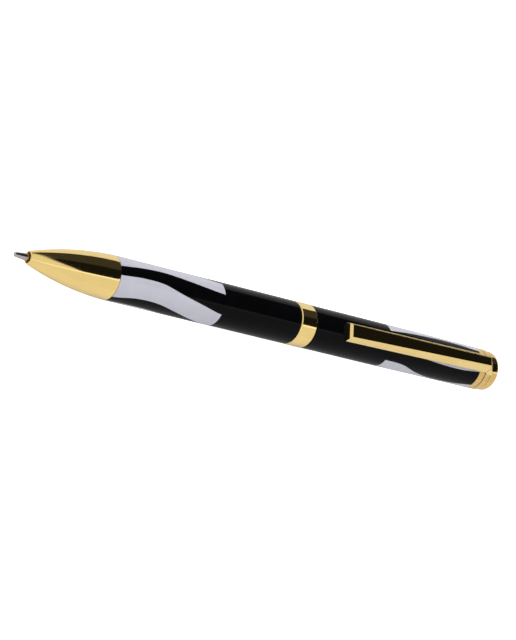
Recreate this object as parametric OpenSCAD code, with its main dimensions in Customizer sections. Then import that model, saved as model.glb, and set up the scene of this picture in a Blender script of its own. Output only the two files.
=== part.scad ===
// Twist-action ballpoint pen with a wave-striped lacquer barrel and a gold-plated clip.
// The pen lies along X: writing ball toward -X, finial toward +X, clip on top (+Z).
// The origin is on the pen's axis, at the middle of the centre band.
// It is drawn with the point out. Lengths are millimetres and angles are degrees.
// Set node to one name to draw that sub-part alone.

/* [View] */

/* [Barrel] */
// Outside diameter of the barrel
barrel_d = 10.6; // [10.4:0.1:10.6]
// Diameter of the upper barrel where it meets the collar
barrel_end_d = 10.4; // [10.3:0.02:10.4]
// Depth of the white lacquer in its pockets
lacquer = 0.25; // [0.15:0.05:0.25]

/* [Nose] */
// Diameter of the nose at its rear rim
nose_d = 10.68; // [10.6:0.02:10.8]
// Radius of the arc that shapes the nose
nose_arc = 78; // [76:1:86]
// Diameter of the hole that the point comes through
mouth_d = 2.5; // [2.4:0.05:2.6]

/* [Point] */
// Diameter of the writing ball
ball_d = 1; // [0.9:0.05:1]
// Diameter of the point's thin front part
point_d = 1.64; // [1.5:0.02:1.8]

/* [Band and end] */
// Length of the centre band
band_length = 4.6; // [4.2:0.2:5]
// Diameter of the centre band
band_d = 10.7; // [10.6:0.1:11]
// Diameter of the collar and of the clip ring
collar_d = 10.36; // [10.3:0.02:10.4]
// Diameter of the finial
finial_d = 10; // [9.8:0.1:10.2]

/* [Clip] */
// Width of the flat top at the free end
clip_top_free = 3; // [2.6:0.1:3.1]
// Width of the flat top at the heel
clip_top_heel = 1.95; // [1.8:0.05:2.4]
// Height of the flat top above the axis at the free end
clip_low = 7; // [6.9:0.1:7.3]
// Height of the flat top above the axis at the heel
clip_high = 8.4; // [8.2:0.1:8.6]
// How far the free end stands off toward -Y
clip_swing = 0.5; // [0:0.1:0.6]

/* [Mechanism] */
// How far the point draws back
travel = 5.5; // [4.5:0.1:5.5]
// How far the upper half turns to draw the point back
twist = 150; // [120:10:150]
// Number of working coils in the return spring
coils = 6; // [5:1:7]

/* [Hidden] */
$fn = 96;
over = 0.5;      // how far a cutting shape passes the face it cuts
running = 0.05;  // radial play of the parts that turn or slide in each other

// radii of what is seen
barrel_r = barrel_d / 2;
barrel_end_r = barrel_end_d / 2;
nose_r = nose_d / 2;
nose_step_r = 5.1;
mouth_r = mouth_d / 2;
lip_r = 0.17;
ball_r = ball_d / 2;
point_r = point_d / 2;
band_r = band_d / 2;
collar_r = collar_d / 2;
finial_r = finial_d / 2;
finial_neck_r = 4.4;
dome_r = 45;

// radii of what is inside
bore_r = 4.4;
spring_bore_r = 2.1;
nose_bore_r = 3.15;
tube_r = 2.9;
tube_bore_r = 2.55;
shank_r = 1.15;
channel_r = 0.6;
pusher_r = 3.1;
pusher_socket_r = 2.7;
pusher_bore_r = 1.8;
pin_r = 0.75;
housing_bore_r = pusher_r + running;
housing_r = 3.65;
thread_r = 3.8;
band_seat_r = 4.2;
ring_groove_r = 3.4;
ring_r = 4.1;
stud_r = 1.5;
spigot_r = 2.4;

// rounded and bevelled edges
barrel_rear_round = 0.35;
barrel_front_round = 0.2;
finial_round = 1.2;
band_bevel = 0.2;
bush_bevel = 0.15;
trim_bevel = 0.1;

// stations along X, from the point to the finial
front_x = -80;
ball_x = front_x + ball_r;
mouth_x = -76.3;
spring_x = -72.5;
nose_bore_x = -63.5;
spring_end_x = -62;
shank_end_x = -60;
tube_x = -58;
plug_end_x = -55;
nose_x = -54.5;
nose_level_x = -52.2;
nose_spigot_x = -47.5;
lower_wave_x = [nose_x, -25.2];
bush_x = -13;
ink_end_x = -4.5;
band_x = band_length / 2;
joint_gap = 0.12;
upper_bush_x = 11;
sleeve_x = 11.4;
cap_x = 12.5;
tube_end_x = 15.5;
pusher_x = 16.7;
refill_end_x = 18;
pin_x = 26;
pusher_end_x = 30;
upper_wave_x = [25.7, 55.2];
taper_x = 29;
sleeve_end_x = 34.4;
ring_groove_x = [34.6, 35.4];
housing_end_x = 36.4;
plug_x = 48;
stud_x = 50;
stud_end_x = 60.7;
collar_x = 55.2;
ring_x = 57.2;
ring_end_x = 58.9;
finial_x = 59.1;
end_x = 62;

// the clip's stations and slopes
clip_free_x = 11.4;
clip_heel_x = 56.3;
clip_bevel = 0.53;         // at each end of the flat top
clip_bevel_angle = 31;     // of the bevels along the top's long edges
clip_splay = 15;           // of the sides
clip_shoulder = 1.93;      // half width just under the long bevels
clip_gap_r = 5.42;         // the clip's underside clears this radius
clip_hollow_width = 2.2;
clip_swing_angle = asin(clip_swing / (clip_heel_x - clip_free_x));
clip_rise = atan((clip_high - clip_low) / (clip_heel_x - clip_free_x));
clip_narrow = atan((clip_top_free - clip_top_heel) / 2 / (clip_heel_x - clip_free_x));

// Each white stripe lies between two edges. An edge is six angles, evenly spaced along
// the section, measured round the pen from the top of the clip side toward -Y.
wave_steps = 15;
lower_stripes = [
    [[-85.7, -90.5, -89.1, -74.5, -61.5, -49], [-20.6, -28.5, -32.5, -26.8, -18.9, -12.2]],
    [[4.3, -0.5, 0.9, 15.5, 28.5, 41], [67.6, 54.9, 54.4, 67.7, 86.5, 105]],
    [[94.3, 89.5, 90.9, 105.5, 118.5, 131], [157.6, 144.9, 144.4, 157.7, 176.5, 190]],
    [[184.3, 179.5, 180.9, 195.5, 208.5, 221], [247.6, 234.9, 234.4, 247.7, 259, 270]]
];
upper_stripes = [
    [[-96, -106.2, -116.3, -122.1, -119.5, -107.3], [-31, -39, -44.8, -49.2, -47, -40]],
    [[-8.5, -10.4, -8.2, -2.1, 1.6, -0.4], [18, 21, 26, 29.7, 30.3, 24.9]],
    [[56, 59, 79, 92.5, 88.5, 74], [118, 122, 138, 150, 148, 134]],
    [[158, 160, 172, 178, 176, 167], [222, 214, 212, 211, 211, 213]]
];

// colours
gold = [0.85, 0.68, 0.36];
black = [0.06, 0.06, 0.07];
white = [0.88, 0.88, 0.93];
brass = [0.72, 0.58, 0.3];
steel = [0.75, 0.75, 0.77];
nylon = [0.85, 0.84, 0.8];
ink = [0.05, 0.08, 0.3];

// ---- shared shapes ----

// a solid of revolution about X; the profile is drawn as (distance along X, radius)
module turned() rotate([0, 90, 0]) rotate_extrude() mirror([1, -1]) children();

// a plain profile step from x1 to x2, between two radii
module band_profile(x1, x2, r_in, r_out) translate([x1, r_in]) square([x2 - x1, r_out - r_in]);

// a tube or rod about X
module tube(x1, x2, r_in, r_out) turned() band_profile(x1, x2, r_in, r_out);

// a tube whose outer edges are cut back by a small bevel
module bevelled_tube(x1, x2, r_in, r_out, bevel) turned()
    polygon([[x1, r_in], [x1, r_out - bevel], [x1 + bevel, r_out],
        [x2 - bevel, r_out], [x2, r_out - bevel], [x2, r_in]]);

// turns a shape drawn at the top of the pen round to an angle toward -Y
module around(angle) rotate([angle, 0, 0]) children();

// a smooth curve through evenly spaced values, read at t from 0 to 1
function at(values, i) = values[min(max(i, 0), len(values) - 1)];
function blend(a, b, c, d, f) =
    b + f * ((c - a) / 2 + f * (a - 2.5 * b + 2 * c - d / 2 + f * (1.5 * (b - c) + (d - a) / 2)));
function curve(values, t) =
    let (n = len(values) - 1, i = min(floor(t * n), n - 1), f = t * n - i)
    blend(at(values, i - 1), at(values, i), at(values, i + 1), at(values, i + 2), f);

// the upper barrel's outer radius at x
function upper_r(x) = x < taper_x ? barrel_r
    : barrel_r + (barrel_end_r - barrel_r) * (x - taper_x) / (collar_x - taper_x);

// one stripe, as a prism that leaves the axis in the direction of its middle angle
module stripe(edges, x, middle, tapered) {
    function edge_point(edge, t) =
        let (px = x[0] + (x[1] - x[0]) * t, r = tapered ? upper_r(px) : barrel_r)
        [px, -r * sin(curve(edge, t) - middle)];
    steps = [for (i = [0 : wave_steps]) i / wave_steps];
    near = [for (t = steps) edge_point(edges[0], t)];
    far = [for (t = steps) edge_point(edges[1], 1 - t)];
    around(middle) linear_extrude(height = barrel_r + over) polygon(concat(near, far));
}

// all four stripes of a section
module stripes(list, x, tapered) for (edges = list)
    stripe(edges, x, (edges[0][2] + edges[1][2] + edges[0][3] + edges[1][3]) / 4, tapered);

// ---- lower half ----

module nose_profile() difference() {
    union() {
        intersection() {
            translate([nose_level_x, nose_r - nose_arc]) circle(r = nose_arc, $fn = 720);
            band_profile(mouth_x + lip_r, nose_x - joint_gap, 0, nose_r + over);
        }
        translate([mouth_x + lip_r, mouth_r + lip_r]) circle(r = lip_r);
        band_profile(nose_x - joint_gap, nose_x, 0, nose_step_r);
        band_profile(nose_x, nose_spigot_x, 0, bore_r);
    }
    band_profile(mouth_x - over, nose_spigot_x + over, 0, mouth_r);
    band_profile(spring_x, nose_spigot_x + over, 0, spring_bore_r);
    band_profile(nose_bore_x, nose_spigot_x + over, 0, nose_bore_r);
}

module nose_cone() color(gold) turned() nose_profile();

module lower_outer() turned() difference() {
    band_profile(nose_x, -band_x - joint_gap, bore_r, barrel_r);
    translate([-band_x - joint_gap - barrel_rear_round, barrel_r - barrel_rear_round])
        difference() {
            square(1);
            circle(r = barrel_rear_round);
        }
}

module lower_skin() tube(lower_wave_x[0], lower_wave_x[1], barrel_r - lacquer, barrel_r);

module lower_pattern() color(white) intersection() {
    lower_skin();
    stripes(lower_stripes, lower_wave_x, false);
}

module lower_barrel() color(black) difference() {
    lower_outer();
    lower_pattern();
}

module lower_bush() color(brass)
    bevelled_tube(bush_x, -band_x - joint_gap, thread_r + running, bore_r, bush_bevel);

// the spring's wire, as a tube swept along a coil that closes up at both ends
wire_r = 0.2;
coil_r = 1.7;
coil_sides = 8;
coil_steps = 20;
turns = coils + 2;
coil_pitch = (spring_end_x - spring_x - 6 * wire_r) / coils;
function coil_x(u) = spring_x + wire_r + (u < 1 ? 2 * wire_r * u
    : u > turns - 1 ? 2 * wire_r * (1 + u - turns + 1) + coil_pitch * coils
    : 2 * wire_r + coil_pitch * (u - 1));

module return_spring() color(steel) {
    rings = turns * coil_steps;
    points = [for (i = [0 : rings], j = [0 : coil_sides - 1])
        let (u = i / coil_steps, a = 360 * u, b = 360 * j / coil_sides,
            r = coil_r + wire_r * cos(b))
        [coil_x(u) + wire_r * sin(b), r * sin(a), r * cos(a)]];
    sides = [for (i = [0 : rings - 1], j = [0 : coil_sides - 1])
        let (k = (j + 1) % coil_sides, a = i * coil_sides, b = a + coil_sides)
        [a + j, b + j, b + k, a + k]];
    first = [for (j = [0 : coil_sides - 1]) j];
    last = [for (j = [coil_sides - 1 : -1 : 0]) rings * coil_sides + j];
    polyhedron(points, concat(sides, [first, last]));
}

// ---- refill ----

module refill_tube() color(steel) tube(tube_x, tube_end_x, tube_bore_r, tube_r);

module refill_nose() color(nylon) turned() difference() {
    union() {
        polygon([[spring_end_x, 0], [spring_end_x, tube_r - 0.6], [spring_end_x + 1, tube_r - 0.4],
            [tube_x, tube_r], [tube_x, 0]]);
        band_profile(tube_x - 1, plug_end_x, 0, tube_bore_r);
    }
    band_profile(spring_end_x - over, shank_end_x, 0, shank_r);
    band_profile(spring_end_x, plug_end_x + over, 0, shank_r - 0.25);
}

module refill_point() color(steel) turned() difference() {
    polygon([[ball_x - 0.2, 0], [ball_x - 0.2, ball_r + 0.06], [ball_x + 1.9, point_r],
        [mouth_x + 0.5, point_r], [mouth_x + 0.9, shank_r], [shank_end_x, shank_r],
        [shank_end_x, 0]]);
    translate([ball_x, 0]) circle(r = ball_r + 0.015);
    band_profile(ball_x, ball_x + 2.5, 0, ball_r / 2);
    band_profile(ball_x + 2.5, shank_end_x + over, 0, channel_r);
}

module writing_ball() color(steel) turned() intersection() {
    translate([ball_x, 0]) circle(r = ball_r);
    band_profile(ball_x - 1, ball_x + 1, 0, 1);
}

module refill_cap() color(nylon) turned() difference() {
    union() {
        band_profile(cap_x, tube_end_x, 0, tube_bore_r);
        band_profile(tube_end_x, tube_end_x + 1, 0, tube_r - 0.15);
        band_profile(tube_end_x + 1, refill_end_x, 0, pusher_socket_r - 0.1);
    }
    // vent
    band_profile(refill_end_x - 4, refill_end_x + over, 0, 0.5);
}

module ink_column() color(ink) tube(plug_end_x, ink_end_x, 0, tube_bore_r);

// ---- mechanism: fixed part ----

module mech_housing() color(brass) difference() {
    turned() union() {
        band_profile(bush_x + 0.6, -band_x, housing_bore_r, thread_r);
        band_profile(-band_x, band_x, housing_bore_r, band_seat_r);
        band_profile(band_x, housing_end_x, housing_bore_r, housing_r);
    }
    // groove for the retaining ring
    tube(ring_groove_x[0], ring_groove_x[1], ring_groove_r, housing_r + over);
    // straight slot for the follower pin, through both walls
    for (side = [0, 180]) around(side)
        translate([pin_x, 0, 0]) linear_extrude(height = housing_r + over) guide_outline();
}

// a round-ended slot, a little longer than the pin's travel
module guide_outline() {
    slot_r = pin_r + running;
    translate([-0.1, 0]) circle(r = slot_r);
    translate([travel + 0.1, 0]) circle(r = slot_r);
    translate([-0.1, -slot_r]) square([travel + 0.2, 2 * slot_r]);
}

module centre_band() color(gold)
    bevelled_tube(-band_x, band_x, band_seat_r, band_r, band_bevel);

module retaining_ring() color(steel) difference() {
    tube(ring_groove_x[0], ring_groove_x[1], ring_groove_r, ring_r);
    // the ring's opening
    translate([sleeve_end_x, -1.2, -6]) cube([2, 2.4, 6]);
}

// ---- mechanism: sliding part ----

module pusher() color(nylon) difference() {
    tube(pusher_x, pusher_end_x, 0, pusher_r);
    // socket for the refill's end
    tube(pusher_x - over, refill_end_x + running, 0, pusher_socket_r);
    tube(pin_x + 2, pusher_end_x + over, 0, pusher_bore_r);
    translate([pin_x, 0, 0]) cylinder(r = pin_r, h = 10, center = true);
}

module follower_pin() color(steel)
    translate([pin_x, 0, 0]) cylinder(r = pin_r, h = 8.4, center = true);

// ---- upper half ----

// the curved track, as straight slots that each cover a small part of the turn
track_parts = 5;
track_r = pin_r + 2 * running;
track_mid_r = (housing_r + bore_r) / 2;
module cam_track() for (i = [0 : track_parts - 1]) {
    part_turn = twist / track_parts;
    part_run = travel / track_parts;
    around(-(i + 0.5) * part_turn) translate([pin_x + (i + 0.5) * part_run, 0, 0])
        linear_extrude(height = bore_r + over)
        track_outline(part_run / 2, PI * track_mid_r * part_turn / 360);
}

// a round-ended slot from one corner (-dx, -dy) to the other (dx, dy)
module track_outline(dx, dy) {
    slope = atan2(dy, dx);
    reach = sqrt(dx * dx + dy * dy);
    rotate(slope) {
        translate([-reach, -track_r]) square([2 * reach, 2 * track_r]);
        for (end = [-reach, reach]) translate([end, 0]) circle(r = track_r);
    }
}

module cam_sleeve() color(nylon) difference() {
    tube(sleeve_x, sleeve_end_x, housing_r + running, bore_r);
    for (side = [0, 180]) around(side) cam_track();
}

module upper_bush() color(brass)
    bevelled_tube(band_x + joint_gap, upper_bush_x, housing_r + running, bore_r, bush_bevel);

module upper_outer() turned() difference() {
    polygon([[band_x + joint_gap, bore_r], [band_x + joint_gap, barrel_r], [taper_x, barrel_r],
        [collar_x, barrel_end_r], [collar_x, bore_r]]);
    translate([band_x + joint_gap + barrel_front_round, barrel_r - barrel_front_round])
        difference() {
            translate([-1, 0]) square(1);
            circle(r = barrel_front_round);
        }
}

module upper_skin() turned() polygon([
    [upper_wave_x[0], barrel_r - lacquer], [upper_wave_x[0], barrel_r], [taper_x, barrel_r],
    [collar_x, barrel_end_r], [collar_x, barrel_end_r - lacquer], [taper_x, barrel_r - lacquer]]);

module upper_pattern() color(white) intersection() {
    upper_skin();
    stripes(upper_stripes, upper_wave_x, true);
}

module upper_barrel() color(black) difference() {
    upper_outer();
    upper_pattern();
}

module end_plug() color(brass) turned() difference() {
    union() {
        band_profile(plug_x, collar_x, 0, bore_r);
        band_profile(collar_x, ring_end_x, 0, spigot_r);
    }
    band_profile(plug_x - over, ring_end_x + over, 0, stud_r);
}

module collar() color(gold)
    bevelled_tube(collar_x, ring_x - running, spigot_r, collar_r, trim_bevel);

module clip_ring() color(gold) union() {
    bevelled_tube(ring_x, ring_end_x, spigot_r, collar_r, trim_bevel);
    // the block behind the clip, which the clip is joined to
    intersection() {
        clip_section();
        rotate([90, 0, 0]) linear_extrude(height = 8, center = true) polygon([
            [clip_heel_x + 0.1, collar_r + 0.02], [clip_heel_x + 0.1, clip_high - 1],
            [clip_heel_x + 0.5, clip_high - 1], [ring_end_x - 0.1, collar_r],
            [ring_end_x - 0.1, 4], [ring_x + 0.1, 4], [ring_x + 0.1, collar_r + 0.02]]);
    }
}

module finial() color(gold) turned() difference() {
    union() {
        band_profile(ring_end_x, finial_x, 0, finial_neck_r);
        intersection() {
            union() {
                band_profile(finial_x, end_x - finial_round, 0, finial_r);
                band_profile(finial_x, end_x, 0, finial_r - finial_round);
                translate([end_x - finial_round, finial_r - finial_round])
                    circle(r = finial_round);
            }
            translate([end_x - dome_r, 0]) circle(r = dome_r, $fn = 720);
            band_profile(finial_x, end_x, 0, finial_r);
        }
    }
    band_profile(ring_end_x - over, stud_end_x + 0.1, 0, stud_r);
}

module finial_stud() color(steel) tube(stud_x, stud_end_x, 0, stud_r);

// ---- clip ----

// the clip's section: sides that splay toward the barrel, without the bevels
module clip_section() {
    spread = tan(clip_splay);
    top = clip_high + over;
    foot = 4;
    width = function (z) clip_shoulder + (clip_low - 0.5 - z) * spread;
    rotate([90, 0, 90]) linear_extrude(height = 70) polygon([
        [-width(foot), foot], [-width(top), top], [width(top), top], [width(foot), foot]]);
}

// the clip seen from the side, with a bevel at each end of its top
module clip_side() rotate([90, 0, 0]) linear_extrude(height = 8, center = true) polygon([
    [clip_free_x, 4.82], [clip_free_x, clip_low - clip_bevel], [clip_free_x + clip_bevel, clip_low],
    [clip_heel_x - clip_bevel, clip_high], [clip_heel_x, clip_high - clip_bevel],
    [clip_heel_x, 5.42]]);

// a block whose underside is the bevel along one long edge of the top
module clip_bevel_cut(side) mirror([0, side, 0])
    translate([clip_free_x, clip_top_free / 2, clip_low])
    rotate([0, 0, -clip_narrow]) rotate([0, -clip_rise, 0]) rotate([-clip_bevel_angle, 0, 0])
    translate([-2, -2, 0]) cube([60, 8, 4]);

// turns the clip a little about its heel, so that its free end stands off to one side
module swung() translate([clip_heel_x, 0, 0]) rotate([0, 0, clip_swing_angle])
    translate([-clip_heel_x, 0, 0]) children();

module clip() color(gold) difference() {
    swung() difference() {
        intersection() {
            clip_section();
            clip_side();
        }
        for (side = [0, 1]) clip_bevel_cut(side);
        // the hollow under the clip
        rotate([90, 0, 0]) linear_extrude(height = clip_hollow_width, center = true) polygon([
            [clip_free_x + 2.5, 4], [clip_free_x + 2.5, clip_low - 0.8],
            [clip_heel_x - 3, clip_high - 0.95], [clip_heel_x - 3, 4]]);
    }
    // room for the barrel
    tube(clip_free_x - over, clip_heel_x + over, 0, clip_gap_r);
}

// ---- what is drawn ----

nose_cone();
lower_barrel();
lower_pattern();
lower_bush();
return_spring();
refill_tube();
refill_nose();
refill_point();
refill_cap();
ink_column();
writing_ball();
mech_housing();
centre_band();
retaining_ring();
pusher();
follower_pin();
cam_sleeve();
upper_bush();
upper_barrel();
upper_pattern();
end_plug();
collar();
clip_ring();
finial();
finial_stud();
clip();
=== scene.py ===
import math

import bpy
import numpy as np
from mathutils import Matrix, Vector


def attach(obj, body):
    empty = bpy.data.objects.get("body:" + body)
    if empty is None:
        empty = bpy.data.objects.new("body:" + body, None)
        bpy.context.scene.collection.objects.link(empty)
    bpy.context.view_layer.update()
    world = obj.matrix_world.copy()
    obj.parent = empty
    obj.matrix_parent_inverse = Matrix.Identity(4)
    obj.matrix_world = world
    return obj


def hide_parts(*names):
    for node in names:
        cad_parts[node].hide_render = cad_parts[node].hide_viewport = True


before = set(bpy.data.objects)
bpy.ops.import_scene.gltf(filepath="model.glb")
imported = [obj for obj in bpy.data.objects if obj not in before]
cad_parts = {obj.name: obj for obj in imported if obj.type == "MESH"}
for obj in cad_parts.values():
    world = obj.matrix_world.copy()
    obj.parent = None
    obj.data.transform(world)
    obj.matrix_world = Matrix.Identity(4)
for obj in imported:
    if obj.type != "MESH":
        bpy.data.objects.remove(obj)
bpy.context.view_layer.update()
print("frame loaded")

mm = 0.001
turn = 2 * np.pi

cameraSettings = {
    "target": (-9.9, 0.0, 0.0),  # point on the pen's axis, in mm
    "tiltAlongPen": 35.4,  # how far the view leans toward the point, in degrees
    "turnFromClip": 18.0,  # how far the view goes round from the clip toward -Y
    "roll": 13.86,  # the pen runs this much downhill to the right
    "distance": 593.5,
    "lens": 140.6,
    "nudge": (1.40, 0.95),  # moves the pen right and up in the frame, in mm
}


def addCamera(s):
    lean, side = math.radians(s["tiltAlongPen"]), math.radians(s["turnFromClip"])
    level = math.cos(lean)
    toCamera = Vector((-math.sin(lean), -level * math.sin(side), level * math.cos(side)))
    along = (Vector((1, 0, 0)) - toCamera * toCamera.x).normalized()
    across = Vector((0, -math.cos(side), -math.sin(side)))
    roll = math.radians(s["roll"])
    right = along * math.cos(roll) - across * math.sin(roll)
    up = -(along * math.sin(roll) + across * math.cos(roll))
    target = Vector(s["target"]) * mm - right * s["nudge"][0] * mm - up * s["nudge"][1] * mm
    standAt = target + toCamera * s["distance"] * mm
    data = bpy.data.cameras.new("studioCamera")
    data.lens = s["lens"]
    data.sensor_width = 36
    data.clip_start = 0.01
    cam = bpy.data.objects.new("studioCamera", data)
    turned = Matrix((right, up, toCamera)).transposed().to_4x4()
    cam.matrix_world = Matrix.Translation(standAt) @ turned
    bpy.context.collection.objects.link(cam)
    bpy.context.scene.camera = cam
    # plain colours, so that the pale floor may burn out to white as in a catalogue shot
    bpy.context.scene.view_settings.view_transform = "Standard"


addCamera(cameraSettings)
print("camera placed")


def outward(verts, faces):
    # the volume under each face, summed; negative means that the faces point inward
    volume = 0.0
    for k in range(1, faces.shape[1] - 1):
        a, b, c = verts[faces[:, 0]], verts[faces[:, k]], verts[faces[:, k + 1]]
        volume += np.einsum("ij,ij->i", a, np.cross(b, c)).sum()
    return faces if volume > 0 else faces[:, ::-1]


def addPiece(name, verts, quads, tris, material, smooth=35):
    # verts in mm; quads and tris are index arrays, and tris may be empty
    faces = [face for block in (quads, tris) for face in block.tolist()]
    mesh = bpy.data.meshes.new(name)
    mesh.from_pydata((verts * mm).tolist(), [], faces)
    mesh.update()
    mesh.shade_smooth()
    mesh.set_sharp_from_angle(angle=math.radians(smooth))
    mesh.materials.append(material)
    piece = bpy.data.objects.new(name, mesh)
    bpy.context.collection.objects.link(piece)
    return piece


def place(piece, body, slot, *nodes):
    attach(piece, body)
    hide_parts(*nodes)
    return piece


def gridQuads(rows, cols, closeRows=False, closeCols=False, start=0):
    # quads of a grid of points numbered row by row
    i = np.arange(rows if closeRows else rows - 1)
    j = np.arange(cols if closeCols else cols - 1)
    i, j = np.meshgrid(i, j, indexing="ij")
    i2, j2 = (i + 1) % rows, (j + 1) % cols
    quads = np.stack([i * cols + j, i2 * cols + j, i2 * cols + j2, i * cols + j2], -1)
    return quads.reshape(-1, 4) + start


def softCorners(points, radii, steps=5, hold=0.04):
    # each corner becomes an arc that touches both of its sides, with a holding point past each end.
    # the arc swings from one touching point to the other about the centre, at an even rate,
    # and none of them takes up half of a side. points may be one outline or a stack of them
    p = np.asarray(points, float)
    rad = np.maximum(np.broadcast_to(np.asarray(radii, float), p.shape[:-1]), 1e-4)[..., None]
    u, v = np.roll(p, 1, -2) - p, np.roll(p, -1, -2) - p
    lu, lv = np.linalg.norm(u, axis=-1, keepdims=True), np.linalg.norm(v, axis=-1, keepdims=True)
    u, v = u / lu, v / lv
    half = np.arccos(np.clip((u * v).sum(-1, keepdims=True), -0.99999, 0.99999)) / 2
    reach = np.minimum(rad / np.tan(half), 0.45 * np.minimum(lu, lv))
    rad = reach * np.tan(half)
    mid = (u + v) / np.linalg.norm(u + v, axis=-1, keepdims=True)
    centre = p + mid * rad / np.sin(half)
    a0, a1 = (p + u * reach - centre)[..., None, :], (p + v * reach - centre)[..., None, :]
    sweep = (np.pi - 2 * half)[..., None]
    t = np.linspace(0, 1, steps)[:, None]
    arc = (np.sin((1 - t) * sweep) * a0 + np.sin(t * sweep) * a1) / np.sin(sweep)
    arc = arc + centre[..., None, :]
    ease = np.minimum(hold, 0.3 * np.minimum(lu, lv))
    before = (p + u * np.minimum(reach + ease, 0.49 * lu))[..., None, :]
    after = (p + v * np.minimum(reach + ease, 0.49 * lv))[..., None, :]
    return np.concatenate([before, arc, after], -2).reshape(*p.shape[:-2], -1, 2)


def welded(verts, quads):
    # points in one place become one; a face that loses a corner becomes a triangle,
    # and one that loses two goes
    kept, number = np.unique(np.round(verts, 6), axis=0, return_inverse=True)
    quads = number.reshape(-1)[quads]
    same = quads == np.roll(quads, -1, 1)
    lost = same.sum(1)
    return kept, quads[lost == 0], quads[lost == 1][~same[lost == 1]].reshape(-1, 3)


def turnedGrid(profile, sides):
    # every profile point (distance, radius) goes once round the X axis, starting at the top
    a = np.arange(sides) / sides * turn
    x = np.repeat(profile[:, :1], sides, 1)
    r = np.repeat(profile[:, 1:], sides, 1)
    return np.stack([x, -r * np.sin(a), r * np.cos(a)], -1)


def turnedRing(profile, sides=192):
    # a closed profile that stays off the axis
    verts = turnedGrid(profile, sides).reshape(-1, 3)
    return verts, outward(verts, gridQuads(len(profile), sides, True, True))


def turnedPlug(profile, sides=192):
    # an open profile whose two ends are on the axis; each end becomes one point
    body = turnedGrid(profile[1:-1], sides).reshape(-1, 3)
    rows = len(profile) - 2
    ends = np.array([[profile[0, 0], 0, 0], [profile[-1, 0], 0, 0]])
    verts = np.concatenate([body, ends])
    quads = gridQuads(rows, sides, False, True)
    j = np.arange(sides)
    j2 = (j + 1) % sides
    last = (rows - 1) * sides
    first = np.stack([np.full(sides, rows * sides), j, j2], -1)
    final = np.stack([np.full(sides, rows * sides + 1), last + j2, last + j], -1)
    tris = np.concatenate([first, final])
    whole = np.concatenate([quads, np.concatenate([tris, tris[:, :1]], 1)])
    flipped = outward(verts, whole)[0, 0] != whole[0, 0]
    return verts, quads[:, ::-1] if flipped else quads, tris[:, ::-1] if flipped else tris


noTris = np.zeros((0, 3), int)


def link(nodes, value, socket):
    if hasattr(value, "is_output"):
        nodes.id_data.links.new(value, socket)
    else:
        socket.default_value = value


def calc(nodes, operation, a, b=0.0, c=0.0):
    node = nodes.new("ShaderNodeMath")
    node.operation = operation
    for value, socket in zip((a, b, c), node.inputs):
        link(nodes, value, socket)
    return node.outputs[0]


def noiseAt(nodes, scale, stretch=(1, 1, 1), detail=3.0, rough=0.5):
    coords = nodes.new("ShaderNodeTexCoord")
    mapping = nodes.new("ShaderNodeMapping")
    mapping.inputs["Scale"].default_value = stretch
    noise = nodes.new("ShaderNodeTexNoise")
    noise.inputs["Scale"].default_value = scale
    noise.inputs["Detail"].default_value = detail
    noise.inputs["Roughness"].default_value = rough
    nodes.id_data.links.new(coords.outputs["Object"], mapping.inputs["Vector"])
    nodes.id_data.links.new(mapping.outputs[0], noise.inputs["Vector"])
    return noise.outputs[0]


def spread(nodes, value, low, high, fromLow=0.3, fromHigh=0.7):
    # fromLow becomes low, fromHigh becomes high, and nothing goes past either
    node = nodes.new("ShaderNodeMapRange")
    link(nodes, value, node.inputs["Value"])
    ends = {"From Min": fromLow, "From Max": fromHigh, "To Min": low, "To Max": high}
    for socket, number in ends.items():
        node.inputs[socket].default_value = number
    return node.outputs[0]


def blendColour(nodes, factor, a, b):
    node = nodes.new("ShaderNodeMix")
    node.data_type = "RGBA"
    link(nodes, factor, node.inputs[0])
    node.inputs[6].default_value = (*a, 1)
    node.inputs[7].default_value = (*b, 1)
    return node.outputs[2]


def finish(name, s):
    # colour drifts to a deeper colour in clouds, wear varies the roughness, and fine grain is a bump;
    # a larger scale gives smaller marks, and stretch draws wear and grain out along the tool's path
    mat = bpy.data.materials.new(name)
    mat.use_nodes = True
    nodes = mat.node_tree.nodes
    shader = nodes["Principled BSDF"]
    shader.inputs["Metallic"].default_value = s.get("metallic", 0.0)
    shader.inputs["IOR"].default_value = s.get("ior", 1.5)
    stretch = s.get("stretch", (1, 1, 1))
    clouds = noiseAt(nodes, s["cloudScale"], detail=4.0)
    colour = blendColour(nodes, spread(nodes, clouds, 0, 1), s["colour"], s["deep"])
    link(nodes, colour, shader.inputs["Base Color"])
    wear = noiseAt(nodes, s["wearScale"], stretch, detail=5.0, rough=0.65)
    link(nodes, spread(nodes, wear, *s["roughness"]), shader.inputs["Roughness"])
    grain = noiseAt(nodes, s["grainScale"], stretch, detail=2.0)
    bump = nodes.new("ShaderNodeBump")
    bump.inputs["Strength"].default_value = s["bump"]
    bump.inputs["Distance"].default_value = grainHeight * mm
    link(nodes, grain, bump.inputs["Height"])
    link(nodes, bump.outputs[0], shader.inputs["Normal"])
    return mat


grainHeight = 0.01
roundAndRound = (30, 0.4, 0.4)  # turned on a lathe
lengthwise = (0.3, 12, 12)  # drawn or brushed along the pen

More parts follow.
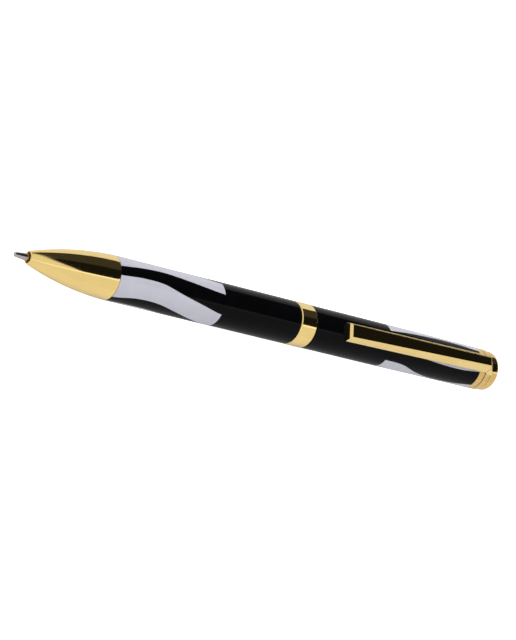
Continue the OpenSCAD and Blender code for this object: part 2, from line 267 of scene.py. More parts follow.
finishes = {
    "goldTurned": dict(
        colour=(0.9, 0.68, 0.27), deep=(0.86, 0.63, 0.24),
        metallic=1.0, roughness=(0.05, 0.1), bump=0.12,
        cloudScale=150, wearScale=900, grainScale=900, stretch=roundAndRound,
    ),
    # the gold plate again, darkened all over: painted shade for the collar, clip ring and finial at the
    # pen's end
    "goldPaintedShade": dict(
        colour=(0.74, 0.52, 0.2), deep=(0.68, 0.46, 0.17),
        metallic=1.0, roughness=(0.06, 0.12), bump=0.14,
        cloudScale=150, wearScale=900, grainScale=900, stretch=roundAndRound,
    ),
    "goldPolished": dict(
        colour=(0.9, 0.68, 0.27), deep=(0.86, 0.63, 0.24),
        metallic=1.0, roughness=(0.05, 0.1), bump=0.12,
        cloudScale=150, wearScale=900, grainScale=1500, stretch=lengthwise,
    ),
    "blackLacquer": dict(
        colour=(0.0022, 0.0022, 0.0027), deep=(0.0015, 0.0015, 0.0018),
        ior=1.15, roughness=(0.04, 0.08), bump=0.03,
        cloudScale=400, wearScale=1500, grainScale=700,
    ),
    "whiteLacquer": dict(
        colour=(0.5, 0.5, 0.56), deep=(0.47, 0.47, 0.54),
        ior=1.42, roughness=(0.1, 0.2), bump=0.03,
        cloudScale=350, wearScale=1500, grainScale=900,
    ),
    "bareBrass": dict(
        colour=(0.76, 0.56, 0.26), deep=(0.62, 0.43, 0.18),
        metallic=1.0, roughness=(0.2, 0.34), bump=0.3,
        cloudScale=200, wearScale=900, grainScale=1200, stretch=roundAndRound,
    ),
    "brightSteel": dict(
        colour=(0.66, 0.66, 0.68), deep=(0.56, 0.56, 0.58),
        metallic=1.0, roughness=(0.16, 0.28), bump=0.1,
        cloudScale=300, wearScale=1500, grainScale=1500,
    ),
    "satinSteel": dict(
        colour=(0.74, 0.74, 0.76), deep=(0.68, 0.68, 0.7),
        metallic=1.0, roughness=(0.24, 0.36), bump=0.25,
        cloudScale=200, wearScale=900, grainScale=1500, stretch=lengthwise,
    ),
    "pointMetal": dict(
        colour=(0.5, 0.45, 0.43), deep=(0.4, 0.35, 0.33),
        metallic=1.0, roughness=(0.16, 0.26), bump=0.2,
        cloudScale=500, wearScale=2500, grainScale=2500, stretch=roundAndRound,
    ),
    "carbideBall": dict(
        colour=(0.5, 0.5, 0.52), deep=(0.4, 0.4, 0.43),
        metallic=1.0, roughness=(0.2, 0.3), bump=0.15,
        cloudScale=2500, wearScale=6000, grainScale=9000,
    ),
    "paleNylon": dict(
        colour=(0.78, 0.77, 0.72), deep=(0.7, 0.69, 0.64),
        roughness=(0.38, 0.52), bump=0.15,
        cloudScale=300, wearScale=1200, grainScale=2500,
    ),
    "pasteInk": dict(
        colour=(0.01, 0.014, 0.08), deep=(0.006, 0.008, 0.05),
        roughness=(0.15, 0.3), bump=0.1,
        cloudScale=600, wearScale=900, grainScale=1200,
    ),
}
made = {name: finish(name, values) for name, values in finishes.items()}

threadShape = {
    "start": -12.4,
    "end": -2.6,
    "pitch": 0.75,
    "runOut": 0.4,  # length over which it fades at each end
    "height": 0.25,
}


def addThread(mat, s):
    # the screw: a wave that runs once along its pitch for each turn round the pen,
    # kept between its two ends
    nodes = mat.node_tree.nodes
    coords = nodes.new("ShaderNodeTexCoord")
    split = nodes.new("ShaderNodeSeparateXYZ")
    link(nodes, coords.outputs["Object"], split.inputs[0])
    x, y, z = split.outputs
    x = calc(nodes, "MULTIPLY", x, 1 / mm)
    along = calc(nodes, "MULTIPLY", x, turn / s["pitch"])
    phase = calc(nodes, "ADD", along, calc(nodes, "ARCTAN2", y, z))
    wave = calc(nodes, "MULTIPLY", calc(nodes, "SINE", phase), 0.5)
    fadeIn = spread(nodes, x, 0, 1, s["start"], s["start"] + s["runOut"])
    fadeOut = spread(nodes, x, 1, 0, s["end"] - s["runOut"], s["end"])
    held = calc(nodes, "MULTIPLY", fadeIn, fadeOut)
    bump = nodes.new("ShaderNodeBump")
    bump.inputs["Strength"].default_value = 1.0
    bump.inputs["Distance"].default_value = s["height"] * mm
    link(nodes, calc(nodes, "MULTIPLY", wave, held), bump.inputs["Height"])
    fine = next(n for n in nodes if n.bl_idname == "ShaderNodeBump" and n != bump)
    link(nodes, bump.outputs[0], fine.inputs["Normal"])


made["threadedBrass"] = finish("threadedBrass", finishes["bareBrass"])
addThread(made["threadedBrass"], threadShape)
print("finishes made")

noseShape = {
    "mouth": -76.3,
    "rear": -54.5,
    "radius": 5.34,
    "arc": 78.0,  # radius of the long curve
    "levelAt": -52.2,  # where the curve would run level
    "mouthBore": 1.25,
    "lip": 0.17,
    "groove": 0.12,  # width of the dark line at the barrel
    "grooveFloor": 5.1,
    "rimRounding": 0.18,
    "curveStops": 0.3,  # how far short of the groove, to leave room for the rounding
    # the spigot and the bores, as (distance, radius), then how much each corner is rounded
    "wall": [(-47.5, 4.4), (-47.5, 3.15), (-63.5, 3.15), (-63.5, 2.1), (-72.5, 2.1)],
    "wallRounding": [0.15, 0.1, 0.05, 0.05, 0.05],
}


def addNose(s):
    # long curve: radius = level radius - arc
    #             + sqrt(arc squared - (distance to where it runs level) squared)
    step, rear = s["rear"] - s["groove"], s["rear"]
    x = np.linspace(s["mouth"] + s["lip"], step - s["curveStops"], 70)
    r = s["radius"] - s["arc"] + np.sqrt(s["arc"] ** 2 - (x - s["levelAt"]) ** 2)
    # the lip is half a circle from the bore round to the outside
    a = np.linspace(1.5 * np.pi, 0.5 * np.pi, 17)[:-1]
    middle = s["mouthBore"] + s["lip"]
    lip = np.stack([s["mouth"] + s["lip"] + s["lip"] * np.cos(a), middle + s["lip"] * np.sin(a)], -1)
    corners = [(step, r[-1] + 0.005), (step, s["grooveFloor"]), (rear, s["grooveFloor"]),
               (rear, s["wall"][0][1]), *s["wall"], (s["wall"][-1][0], s["mouthBore"])]
    inside = softCorners(corners, [s["rimRounding"], 0.01, 0.01, 0.01, *s["wallRounding"], 0.05], 6)
    verts, quads = turnedRing(np.concatenate([lip, np.stack([x, r], -1), inside]), 256)
    piece = addPiece("nose", verts, quads, noTris, made["goldTurned"], 28)
    place(piece, "lower_half", "gold_plate", "nose_cone")


addNose(noseShape)

# corners of each ring's section as (distance along the pen, radius), then how much each is rounded
rings = {
    "centreBand": {
        "corners": [(-2.3, 4.2), (-2.3, 5.15), (-2.1, 5.35), (2.1, 5.35), (2.3, 5.15), (2.3, 4.2)],
        "rounding": [0.02, 0.08, 0.12, 0.12, 0.08, 0.02],
        "made": ("goldTurned", "mechanism", "gold_plate", "centre_band"),
    },
    # the collar and the clip ring take the gold plate's darkened copy, painted shade
    "collar": {
        "corners": [(55.22, 2.4), (55.22, 5.18), (57.08, 5.18), (57.08, 2.4)],
        "rounding": [0.02, 0.16, 0.16, 0.02],
        "made": ("goldPaintedShade", "upper_half", "gold_plate", "collar"),
    },
    "clipRing": {
        "corners": [(57.27, 2.4), (57.27, 5.18), (58.85, 5.18), (58.85, 2.4)],
        "rounding": [0.02, 0.13, 0.13, 0.02],
        "made": ("goldPaintedShade", "upper_half", "gold_plate", "clip_ring"),
    },
    "lowerBush": {
        "corners": [(-13, 3.85), (-13, 4.4), (-2.42, 4.4), (-2.42, 3.85)],
        "rounding": [0.1, 0.1, 0.15, 0.15],
        "made": ("bareBrass", "lower_half", "bare_brass", "lower_bush"),
    },
    "refillTube": {
        "corners": [(-58, 2.55), (-58, 2.9), (15.5, 2.9), (15.5, 2.55)],
        "rounding": [0.03, 0.14, 0.14, 0.03],
        "made": ("satinSteel", "refill", "refill_metal", "refill_tube"),
    },
    "refillNose": {
        "corners": [(-62, 1.15), (-62, 2.3), (-61, 2.5), (-58, 2.88), (-58, 2.55), (-55, 2.55),
                    (-55, 0.9), (-60, 0.9), (-60, 1.15)],
        "rounding": [0.05, 0.1, 0.3, 0.05, 0.02, 0.1, 0.05, 0.02, 0.02],
        "made": ("paleNylon", "refill", "nylon", "refill_nose"),
    },
}


def addRing(name, s):
    finishName, body, slot, node = s["made"]
    verts, quads = turnedRing(softCorners(s["corners"], s["rounding"], 6))
    place(addPiece(name, verts, quads, noTris, made[finishName]), body, slot, node)


for ringName, ringShape in rings.items():
    addRing(ringName, ringShape)
print("nose and rings made")

finialShape = {
    "seat": 58.9,
    "neck": 4.4,
    "lip": 59.1,
    "lipCurve": [(0, 0.14), (0.02, 0.06), (0.08, 0.01), (0.16, 0)],  # (distance past the lip, depth)
    "radius": 5.0,
    "end": 62.0,
    "edge": 1.2,  # rounding of the outer edge
    "dome": 45.0,
}


def addFinial(s):
    # the edge swings through a little under a quarter circle, then the dome takes over:
    # distance = end - dome + sqrt(dome squared - radius squared)
    centre = (s["end"] - s["edge"], s["radius"] - s["edge"])
    # where the edge's circle leaves the dome's sphere, both seen from the dome's centre
    reach = s["dome"] - s["edge"]
    off = math.asin(centre[1] / reach)
    edgeX = s["end"] - s["dome"] + reach * math.cos(off)
    a = np.linspace(np.pi / 2, off, 24)
    edge = np.stack([edgeX + s["edge"] * np.cos(a), centre[1] + s["edge"] * np.sin(a)], -1)
    r = np.linspace(s["dome"] * math.sin(off), 0, 26)[1:]
    dome = np.stack([s["end"] - s["dome"] + np.sqrt(s["dome"] ** 2 - r**2), r], -1)
    start = [(s["seat"], 0), (s["seat"], s["neck"] - 0.02), (s["seat"] + 0.02, s["neck"]),
             (s["lip"] - 0.01, s["neck"]), (s["lip"], s["neck"] + 0.01)]
    start += [(s["lip"] + past, s["radius"] - depth) for past, depth in s["lipCurve"]]
    verts, quads, tris = turnedPlug(np.concatenate([start, edge, dome]))
    # the finial takes the gold plate's darkened copy, painted shade
    piece = addPiece("finial", verts, quads, tris, made["goldPaintedShade"])
    place(piece, "upper_half", "gold_plate", "finial")


addFinial(finialShape)

pointShape = {
    "front": -79.7,
    "rear": -60.0,
    "frontRadius": 0.56,
    "coneLength": 2.3,
    "radius": 0.82,
    "shoulderAt": (-75.8, -75.4),  # where it grows to the shank
    "shank": 1.15,
    "inkHole": 0.6,
    "channelFrom": -77.0,
    "channel": 0.25,
    "edge": 0.03,
    "ballAt": -79.5,
    "ball": 0.5,
    "play": 0.015,
}


def addPoint(s):
    # the outline goes back from the front rim over cone and shoulder, then in through the ink's hole
    edge, cone = s["edge"], s["front"] + s["coneLength"]
    thin, thick = s["shoulderAt"]
    outside = [(s["front"], s["frontRadius"] - edge), (s["front"] + edge, s["frontRadius"]),
               (cone - 0.4, s["radius"] - edge), (cone, s["radius"]),
               (thin - 0.02, s["radius"]), (thin + 0.02, s["radius"] + edge),
               (thick - 0.02, s["shank"] - edge), (thick + 0.04, s["shank"]),
               (s["rear"] - 0.05, s["shank"]), (s["rear"], s["shank"] - 0.05),
               (s["rear"], s["inkHole"]), (s["channelFrom"], s["inkHole"]),
               (s["channelFrom"], s["channel"])]
    # the ball's seat: part of a circle about the ball's centre, from the channel out to the front rim
    socket = s["ball"] + s["play"]
    inner = math.asin(s["channel"] / socket)
    outer = np.pi - math.acos((s["ballAt"] - s["front"]) / socket)
    a = np.linspace(inner, outer, 24)
    seat = np.stack([s["ballAt"] + socket * np.cos(a), socket * np.sin(a)], -1)
    verts, quads = turnedRing(np.concatenate([outside, seat]), 128)
    piece = addPiece("refillPoint", verts, quads, noTris, made["pointMetal"])
    place(piece, "refill", "point_metal", "refill_point")
    # the ball: half a circle from pole to pole, carried round the axis
    a = np.linspace(0, np.pi, 48)
    half = np.stack([s["ballAt"] - s["ball"] * np.cos(a), s["ball"] * np.sin(a)], -1)
    verts, quads, tris = turnedPlug(half, 96)
    piece = addPiece("writingBall", verts, quads, tris, made["carbideBall"])
    place(piece, "ball", "carbide", "writing_ball")


addPoint(pointShape)
print("finial and point made")

barrelShape = {
    "radius": 5.3,
    "endRadius": 5.2,
    "taperFrom": 29.0,
    "taperTo": 55.2,
    "bore": 4.4,
    "boreEdge": 0.02,
    "pocket": 0.25,  # depth that the white is let in
    "rowsInWaves": 90,
    "colsInStripe": 26,
    "colsBetween": 22,
    "rim": 0.012,  # how far the white's edges are rounded off
}

# each stripe's two edges, as angles round the pen at six even distances from "from" to "to";
# rounding is that of the barrel's front and rear edge
lowerHalf = {
    "front": -54.5,
    "rear": -2.42,
    "rounding": (0.02, 0.35),
    "from": -54.5,
    "to": -25.2,
    "stripes": [
        [[-85.7, -90.5, -89.1, -74.5, -61.5, -49], [-20.6, -28.5, -32.5, -26.8, -18.9, -12.2]],
        [[4.3, -0.5, 0.9, 15.5, 28.5, 41], [67.6, 54.9, 54.4, 67.7, 86.5, 105]],
        [[94.3, 89.5, 90.9, 105.5, 118.5, 131], [157.6, 144.9, 144.4, 157.7, 176.5, 190]],
        [[184.3, 179.5, 180.9, 195.5, 208.5, 221], [247.6, 234.9, 234.4, 247.7, 259, 270]],
    ],
}
upperHalf = {
    "front": 2.42,
    "rear": 55.2,
    "rounding": (0.2, 0.02),
    "from": 25.7,
    "to": 55.2,
    "stripes": [
        [[-96, -106.2, -116.3, -122.1, -119.5, -107.3], [-31, -39, -44.8, -49.2, -47, -40]],
        [[-8.5, -10.4, -8.2, -2.1, 1.6, -0.4], [18, 21, 26, 29.7, 30.3, 24.9]],
        [[56, 59, 79, 92.5, 88.5, 74], [118, 122, 138, 150, 148, 134]],
        [[158, 160, 172, 178, 176, 167], [222, 214, 212, 211, 211, 213]],
    ],
}


def smoothThrough(values, t):
    # a curve through evenly spaced values: between two of them it is a cubic, and at each one its slope
    # is half the step between its neighbours
    v = np.asarray(values, float)
    v = np.concatenate([v[:1], v, v[-1:]])
    n = len(values) - 1
    i = np.minimum((t * n).astype(int), n - 1)
    f = t * n - i
    a, b, c, d = v[i], v[i + 1], v[i + 2], v[i + 3]
    return b + f * ((c - a) / 2 + f * (a - 2.5 * b + 2 * c - d / 2 + f * (1.5 * (b - c) + (d - a) / 2)))


def barrelRadius(x, s=barrelShape):
    # straight up to where the taper starts, then evenly down to the end radius
    t = np.clip((x - s["taperFrom"]) / (s["taperTo"] - s["taperFrom"]), 0, 1)
    return s["radius"] + (s["endRadius"] - s["radius"]) * t


def onBarrel(x, angle, r):
    # a place on the barrel, with the angle measured from the clip's side
    a = np.radians(angle)
    return np.stack([x, -r * np.sin(a), r * np.cos(a)], -1)


def waveRows(waves, s=barrelShape):
    # distances along the wave section, and one column of angles for each stripe edge in turn
    t = np.linspace(0, 1, s["rowsInWaves"])
    x = waves["from"] + (waves["to"] - waves["from"]) * t
    return x, np.stack([smoothThrough(edge, t) for stripe in waves["stripes"] for edge in stripe], 1)


def addBarrel(name, waves, body, node, s=barrelShape):
    # rows run once round the wall's section and columns follow the stripes' edges:
    # angle = one edge + share of the way to the next;
    # radius = the barrel's, less the pocket's depth inside a stripe.
    # both sides of an edge have a column there, so the pocket's wall stands upright
    waveX, edges = waveRows(waves)
    counts = [s["colsInStripe"], s["colsBetween"]] * len(waves["stripes"])
    edges = np.concatenate([edges, edges[:, :1] + 360], 1)
    share = np.concatenate([np.linspace(0, 1, n) for n in counts])
    k = np.repeat(np.arange(len(counts)), counts)
    angles = edges[:, k] + (edges[:, k + 1] - edges[:, k]) * share
    waveR = barrelRadius(waveX)[:, None] - s["pocket"] * (k % 2 == 0)
    front, rear, bore = waves["front"], waves["rear"], s["bore"]
    corners = [(front, bore), (front, barrelRadius(front)), (rear, barrelRadius(rear)), (rear, bore)]
    section = softCorners(corners, [s["boreEdge"], *waves["rounding"], s["boreEdge"]], 7)
    frontPart, rearPart = np.split(section, 2)
    if waves["from"] > front + 1:  # a plain stretch in front of the waves
        plain = np.linspace(frontPart[-1, 0] + 0.1, waves["from"], 12)
        frontPart = np.concatenate([frontPart, np.stack([plain, barrelRadius(plain)], -1)])
        rearPart = rearPart[rearPart[:, 1] < bore + 0.1]
    else:  # and here behind them
        plain = np.linspace(waves["to"], rearPart[0, 0] - 0.1, 12)
        rearPart = np.concatenate([np.stack([plain, barrelRadius(plain)], -1), rearPart])
        frontPart = frontPart[frontPart[:, 1] < bore + 0.1]
    ones = np.ones(len(k))
    x = np.concatenate([frontPart[:, :1] * ones, waveX[:, None] * ones, rearPart[:, :1] * ones])
    r = np.concatenate([frontPart[:, 1:] * ones, waveR, rearPart[:, 1:] * ones])
    inFront, behind = angles[:1].repeat(len(frontPart), 0), angles[-1:].repeat(len(rearPart), 0)
    verts = onBarrel(x, np.concatenate([inFront, angles, behind]), r).reshape(-1, 3)
    verts, quads, tris = welded(verts, outward(verts, gridQuads(*x.shape, True, True)))
    piece = addPiece(name, verts, quads, tris, made["blackLacquer"], 30)
    place(piece, body, "black_lacquer", node)


def addWhites(name, waves, body, node, s=barrelShape):
    # each stripe is a closed skin: the top follows the barrel and is drawn in by the rim all round,
    # then the side goes down from the stripe's own edge to the pocket's floor
    x, edges = waveRows(waves)
    rows, cols = len(x), s["colsInStripe"]
    share = np.linspace(0, 1, cols)
    first = edges[:, 0::2].T[..., None]
    angles = first + (edges[:, 1::2].T[..., None] - first) * share
    xs = np.broadcast_to(x[:, None], angles.shape)
    r = barrelRadius(xs)
    drawIn = np.zeros(cols)
    drawIn[[0, -1]] = np.degrees(s["rim"] / s["radius"]) * np.array([1, -1])
    drawBack = np.zeros(rows)
    drawBack[[0, -1]] = s["rim"] * np.array([1, -1])
    top = onBarrel(xs + drawBack[:, None], angles + drawIn, r)
    edge = onBarrel(xs, angles, r - s["rim"])
    floor = onBarrel(xs, angles, r - s["pocket"])
    size = rows * cols
    i = np.arange(size).reshape(rows, cols)
    loop = np.concatenate([i[0, :-1], i[:-1, -1], i[-1, :0:-1], i[:0:-1, 0]])
    after = np.roll(loop, -1)
    grid = gridQuads(rows, cols)
    side = np.stack([loop, after, after + size, loop + size], -1)[:, ::-1]
    faces = np.concatenate([grid, side, side + size, grid[:, ::-1] + 2 * size])
    used, faces = np.unique(faces, return_inverse=True)  # the edge layer's inner points aren't needed
    faces = faces.reshape(-1, 4)
    blocks, quads = [], []
    for stripe in range(len(angles)):
        points = np.concatenate([layer[stripe].reshape(-1, 3) for layer in (top, edge, floor)])[used]
        blocks.append(points)
        quads.append(outward(points, faces) + stripe * len(used))
    verts, quads = np.concatenate(blocks), np.concatenate(quads)
    piece = addPiece(name, verts, quads, noTris, made["whiteLacquer"], 50)
    place(piece, body, "white_lacquer", node)


addBarrel("lowerBarrel", lowerHalf, "lower_half", "lower_barrel")
addBarrel("upperBarrel", upperHalf, "upper_half", "upper_barrel")
addWhites("lowerWhites", lowerHalf, "lower_half", "lower_pattern")
addWhites("upperWhites", upperHalf, "upper_half", "upper_pattern")
print("barrels and waves made")

clipShape = {
    "free": 11.4,
    "heel": 56.3,
    "endBevel": 0.53,
    "bevelBlend": 0.12,  # softness of the edge between end bevel and flat top
    "topLow": 7.0,  # height of the flat top at the free end
    "topHigh": 8.4,  # and at the heel
    "topWide": 1.5,  # half of the flat top's width at the free end
    "topNarrow": 0.975,  # and at the heel
    "bevelAngle": 31.0,
    "splay": 15.0,
    "shoulder": (1.93, 6.5),  # half width of the sides at this height
    "baseLow": 4.82,  # height of the lower edge at the free end
    "baseRise": 0.6,  # and how much higher it is at the heel
    "baseLeast": 4.85,
    "underside": 5.42,  # radius that the underside clears
    "swing": 0.5,  # how far the free end stands off toward -Y
    "hollowHalf": 1.1,
    "hollowFrom": (13.9, 6.2),
    "hollowTo": (53.3, 7.45),
    "closedDepth": 0.12,  # of the underside's recess, past the hollow's ends
    "least": 0.03,  # no bevel gets narrower than this
    "rounding": (0.16, 0.18, 0.1, 0.08, 0.1),
    "endRounding": 0.07,
    # stations near each end, as distances from it
    "endStations": [0, 0.012, 0.035, 0.08, 0.16, 0.3, 0.42, 0.47, 0.5, 0.53, 0.56, 0.6, 0.66, 0.9],
}


def lofted(sections):
    # sections: (stations, points, 3), mirror-alike left and right, so that both ends close as strips
    count, n = sections.shape[:2]
    verts = sections.reshape(-1, 3)
    half = n // 2
    i = np.arange(half - 1)
    strip = np.stack([i, i + 1, n - 2 - i, n - 1 - i], -1)
    body = gridQuads(count, n, False, True)
    # a body face runs up its first edge; the first end's faces meet it the other way round
    quads = np.concatenate([body, strip, strip[:, ::-1] + (count - 1) * n])
    return verts, outward(verts, quads)


def sideAt(z, s=clipShape):
    # the sides lean out evenly toward the barrel
    return s["shoulder"][0] + (s["shoulder"][1] - z) * math.tan(math.radians(s["splay"]))


def softLower(a, b, width):
    # the lower of two values, with the corner between them rounded over a width
    return np.minimum(a, b) - np.maximum(width - np.abs(a - b), 0) ** 2 / (4 * width)


def mirrored(y, z):
    # one side's corners down from the top, then the other side's back up again
    return np.stack([np.concatenate([y, -y[:, ::-1]], 1), np.concatenate([z, z[:, ::-1]], 1)], -1)


def alongPen(x, outline):
    # puts each station's distance in front of its outline's points
    return np.concatenate([np.broadcast_to(x[:, None, None], (*outline.shape[:2], 1)), outline], -1)


def addClip(s):
    # height of the top = a straight line from free end to heel, cut down 1 for 1 at both ends;
    # a long bevel falls from the flat top's edge by the tangent of its angle until it meets the side;
    # half width of the sides = the shoulder's + (shoulder's height - height) * tangent of the splay
    bevel, slope = s["endBevel"], math.tan(math.radians(s["bevelAngle"]))
    lean = math.tan(math.radians(s["splay"]))
    first, last = s["free"], s["heel"]
    h0, h1 = s["hollowFrom"][0], s["hollowTo"][0]
    ends = np.array(s["endStations"])
    step = np.array([-0.04, 0, 0, 0.04])  # the hollow's end walls are two stations in one place
    inBetween = np.linspace(h0 + 1, h1 - 1, 30)
    x = np.concatenate([first + ends, h0 + step, inBetween, h1 + step, last - ends[::-1]])
    hollow = np.zeros(len(x))
    hollow[len(ends) + 2 : -len(ends) - 2] = 1  # stations that have the hollow
    t = (x - first - bevel) / (last - first - 2 * bevel)
    straight = s["topLow"] + (s["topHigh"] - s["topLow"]) * t
    fromEnd = np.minimum(x - first, last - x)
    top = softLower(straight, straight + fromEnd - bevel, s["bevelBlend"])
    # the flat top is as wide as the long bevels leave it at the height of the top
    flat = s["topWide"] + (s["topNarrow"] - s["topWide"]) * t
    topHalf = np.minimum(flat + (straight - top) / slope, sideAt(top) - s["least"])
    drop = (sideAt(straight) - flat) / (1 / slope - lean)
    footZ = np.minimum(straight - drop, top - s["least"])
    footHalf = sideAt(footZ)
    line = s["baseLow"] + s["baseRise"] * (x - first) / (last - first)
    baseZ = np.maximum(line, s["baseLeast"])
    baseHalf = sideAt(baseZ)
    innerHalf = np.full(len(x), s["hollowHalf"])
    innerZ = np.maximum(line, math.sqrt(s["underside"] ** 2 - s["hollowHalf"] ** 2))
    rise = (s["hollowTo"][1] - s["hollowFrom"][1]) / (h1 - h0)
    ceiling = np.where(hollow > 0, s["hollowFrom"][1] + rise * (x - h0), innerZ + s["closedDepth"])
    y = np.stack([topHalf, footHalf, baseHalf, innerHalf, innerHalf], 1)
    z = np.stack([top, footZ, baseZ, innerZ, ceiling], 1)
    rounding = [*s["rounding"], *s["rounding"][::-1]]
    outline = softCorners(mirrored(y, z), rounding, 6, 0.05)
    # the end edges: points near an end are drawn in toward the section's middle on a quarter circle
    soft = s["endRounding"]
    past = np.clip(1 - fromEnd / soft, 0, 1)
    inset = soft * (1 - np.sqrt(1 - past**2))
    middle = np.stack([np.zeros(len(x)), (top + baseZ) / 2], -1)[:, None]
    away = outline - middle
    away = away * (1 - inset[:, None, None] / np.linalg.norm(away, axis=-1, keepdims=True))
    sections = alongPen(x, middle + away)
    # the whole clip swings about its heel
    swing = math.asin(s["swing"] / (last - first))
    fromHeel, sideways = sections[..., 0] - last, sections[..., 1].copy()
    sections[..., 0] = last + fromHeel * math.cos(swing) - sideways * math.sin(swing)
    sections[..., 1] = fromHeel * math.sin(swing) + sideways * math.cos(swing)
    verts, quads = lofted(sections)
    piece = addPiece("clip", verts, quads, noTris, made["goldPolished"], 32)
    place(piece, "clip", "gold_plate", "clip")


addClip(clipShape)

lugShape = {
    "stations": [56.4, 56.8, 57.4, 58.1, 58.8],
    "tops": [7.4, 7.4, 6.74, 5.96, 5.18],
    "bases": [5.2, 5.2, 4.6, 4.6, 4.6],  # higher over the collar, sunk into the clip ring
    "rounding": 0.2,
}


def addLug(s):
    # the block that joins the clip to its ring: at each station a box from base to top,
    # whose sides lean as the clip's do
    z = np.stack([s["tops"], s["bases"]], 1)
    outline = softCorners(mirrored(sideAt(z), z), s["rounding"], 6)
    verts, quads = lofted(alongPen(np.array(s["stations"]), outline))
    piece = addPiece("clipLug", verts, quads, noTris, made["goldPolished"], 32)
    place(piece, "upper_half", "gold_plate", "clip_ring")


addLug(lugShape)
print("clip made")

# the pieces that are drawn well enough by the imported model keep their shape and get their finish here
kept = {
    "threadedBrass": ["mech_housing"],
    "bareBrass": ["upper_bush", "end_plug"],
    "brightSteel": ["return_spring", "retaining_ring", "follower_pin", "finial_stud"],
    "paleNylon": ["refill_cap", "pusher", "cam_sleeve"],
    "pasteInk": ["ink_column"],
}


def finishKept(groups):
    for finishName, names in groups.items():
        for name in names:
            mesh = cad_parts[name].data
            mesh.materials.clear()
            mesh.materials.append(made[finishName])


finishKept(kept)

floorSettings = {
    "height": -5.35,
    "flatTo": 1200.0,
    "edge": 3000.0,
    "rise": 450.0,
    "sides": 128,
    "paper": (0.8, 0.8, 0.81),
    "glow": 0.85,
}


def addFloor(s):
    # a disc that lies flat, then lifts: height = rise * smooth step of the way from flatTo to the edge
    r = np.concatenate([np.linspace(20, s["flatTo"], 40), np.linspace(s["flatTo"], s["edge"], 40)[1:]])
    t = np.clip((r - s["flatTo"]) / (s["edge"] - s["flatTo"]), 0, 1)
    z = s["height"] + s["rise"] * t * t * (3 - 2 * t)
    j = np.arange(s["sides"])
    a = j / s["sides"] * turn
    x, y = r[:, None] * np.cos(a), r[:, None] * np.sin(a)
    verts = np.stack([x, y, np.broadcast_to(z[:, None], x.shape)], -1).reshape(-1, 3)
    quads = gridQuads(len(r), s["sides"], False, True)
    tris = np.stack([np.full(s["sides"], len(verts)), j, (j + 1) % s["sides"]], -1)
    verts = np.concatenate([verts, [[0, 0, s["height"]]]])
    piece = addPiece("floor", verts, quads, tris, paperFinish(s["paper"], s["glow"]))


def paperFinish(colour, glow):
    mat = bpy.data.materials.new("paleFloor")
    mat.use_nodes = True
    nodes = mat.node_tree.nodes
    shader = nodes["Principled BSDF"]
    shader.inputs["Roughness"].default_value = 0.9
    shader.inputs["Specular IOR Level"].default_value = 0.0
    grain = noiseAt(nodes, 900, detail=4.0)
    darker = tuple(c * 0.985 for c in colour)
    mottled = blendColour(nodes, spread(nodes, grain, 0, 1), colour, darker)
    link(nodes, mottled, shader.inputs["Base Color"])
    # the paper is lit a little from behind, as on a light table; the pen doesn't mirror that part
    path = nodes.new("ShaderNodeLightPath")
    shader.inputs["Emission Color"].default_value = (1, 1, 1, 1)
    seenGlow = calc(nodes, "MULTIPLY", path.outputs["Is Camera Ray"], glow)
    link(nodes, seenGlow, shader.inputs["Emission Strength"])
    return mat


addFloor(floorSettings)

studioSettings = {
    "pale": 0.9,
    "dark": 0.01,
    "darkFar": 0.045,  # the opening is a little lighter on its far side
    "farFrom": (0.42, 0.48),
    "acrossMiddle": (0.788, -0.616),  # sideways from the opening's middle line, in Y and Z
    "frontEdge": 0.03,
    "pointed": 0.4,  # how fast the front edge draws back away from the middle line
    "softEdge": 0.015,
    "lowEdge": (0.1, 0.13),
    "edgeGlow": 0.6,  # extra light in a band along the opening's side
    "glowFrom": (-0.14, -0.07),
    "glowTo": (-0.05, 0.0),
    "backdrop": 1.0,
    "fill": {"strength": 1.7, "softness": 70.0, "from": (-0.1, 0.6, 1.2)},  # softness in degrees
}


def between(nodes, factor, a, b):
    node = nodes.new("ShaderNodeMix")
    for value, socket in zip((factor, a, b), (node.inputs[0], node.inputs[2], node.inputs[3])):
        link(nodes, value, socket)
    return node.outputs[0]


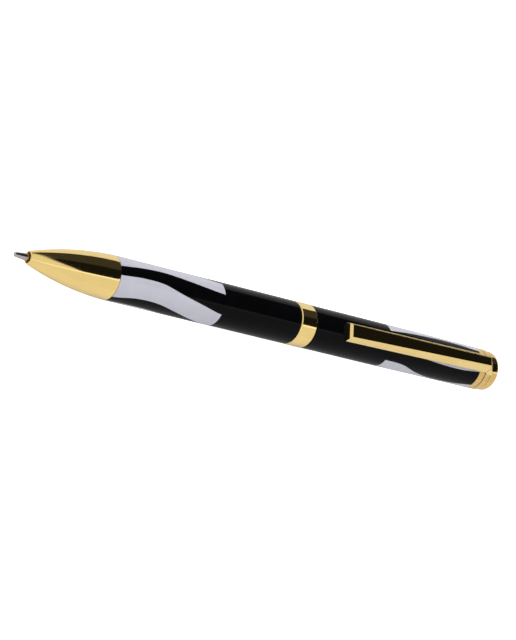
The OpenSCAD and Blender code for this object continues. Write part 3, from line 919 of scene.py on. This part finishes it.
def addStudio(s):
    # a pale room all round, with one dark opening above that the polished surfaces mirror;
    # x, y and z are the direction that is looked in, as a unit vector
    world = bpy.data.worlds.new("studio")
    world.use_nodes = True
    bpy.context.scene.world = world
    nodes = world.node_tree.nodes
    coords = nodes.new("ShaderNodeTexCoord")
    split = nodes.new("ShaderNodeSeparateXYZ")
    link(nodes, coords.outputs["Generated"], split.inputs[0])
    x, y, z = split.outputs
    # away from its middle line the opening starts further along the pen,
    # by the fourth power of the distance, so it comes to a point in front
    offY = calc(nodes, "MULTIPLY", y, s["acrossMiddle"][0])
    offZ = calc(nodes, "MULTIPLY", z, s["acrossMiddle"][1])
    off = calc(nodes, "POWER", calc(nodes, "ABSOLUTE", calc(nodes, "ADD", offY, offZ)), 4.0)
    start = calc(nodes, "ADD", calc(nodes, "MULTIPLY", off, s["pointed"]), s["frontEdge"])
    along = calc(nodes, "SUBTRACT", x, start)
    # its side edge lies at y = -z * (1 - x) / 2
    tilt = calc(nodes, "MULTIPLY", calc(nodes, "SUBTRACT", 0.5, calc(nodes, "MULTIPLY", x, 0.5)), z)
    across = calc(nodes, "ADD", y, tilt)
    soft = s["softEdge"]
    opening = spread(nodes, z, 0, 1, *s["lowEdge"])
    for distance in (along, across):
        opening = calc(nodes, "MULTIPLY", opening, spread(nodes, distance, 0, 1, -soft, soft))
    within = spread(nodes, y, s["dark"], s["darkFar"], *s["farFrom"])
    glowStarts = spread(nodes, across, 0, 1, *s["glowFrom"])
    glow = calc(nodes, "SUBTRACT", glowStarts, spread(nodes, across, 0, 1, *s["glowTo"]))
    glow = calc(nodes, "MULTIPLY", glow, s["edgeGlow"])
    around = calc(nodes, "ADD", glow, s["pale"])
    room = between(nodes, opening, around, within)
    path = nodes.new("ShaderNodeLightPath")
    seen = between(nodes, path.outputs["Is Camera Ray"], room, s["backdrop"])
    link(nodes, seen, nodes["Background"].inputs["Strength"])
    nodes["Background"].inputs["Color"].default_value = (1, 1, 1, 1)

    lamp = bpy.data.lights.new("fill", "SUN")
    lamp.energy = s["fill"]["strength"]
    lamp.angle = math.radians(s["fill"]["softness"])
    ob = bpy.data.objects.new("fill", lamp)
    ob.rotation_euler = Vector(s["fill"]["from"]).to_track_quat("Z", "Y").to_euler()
    ob.visible_glossy = False
    bpy.context.collection.objects.link(ob)


addStudio(studioSettings)
print("floor and light made")
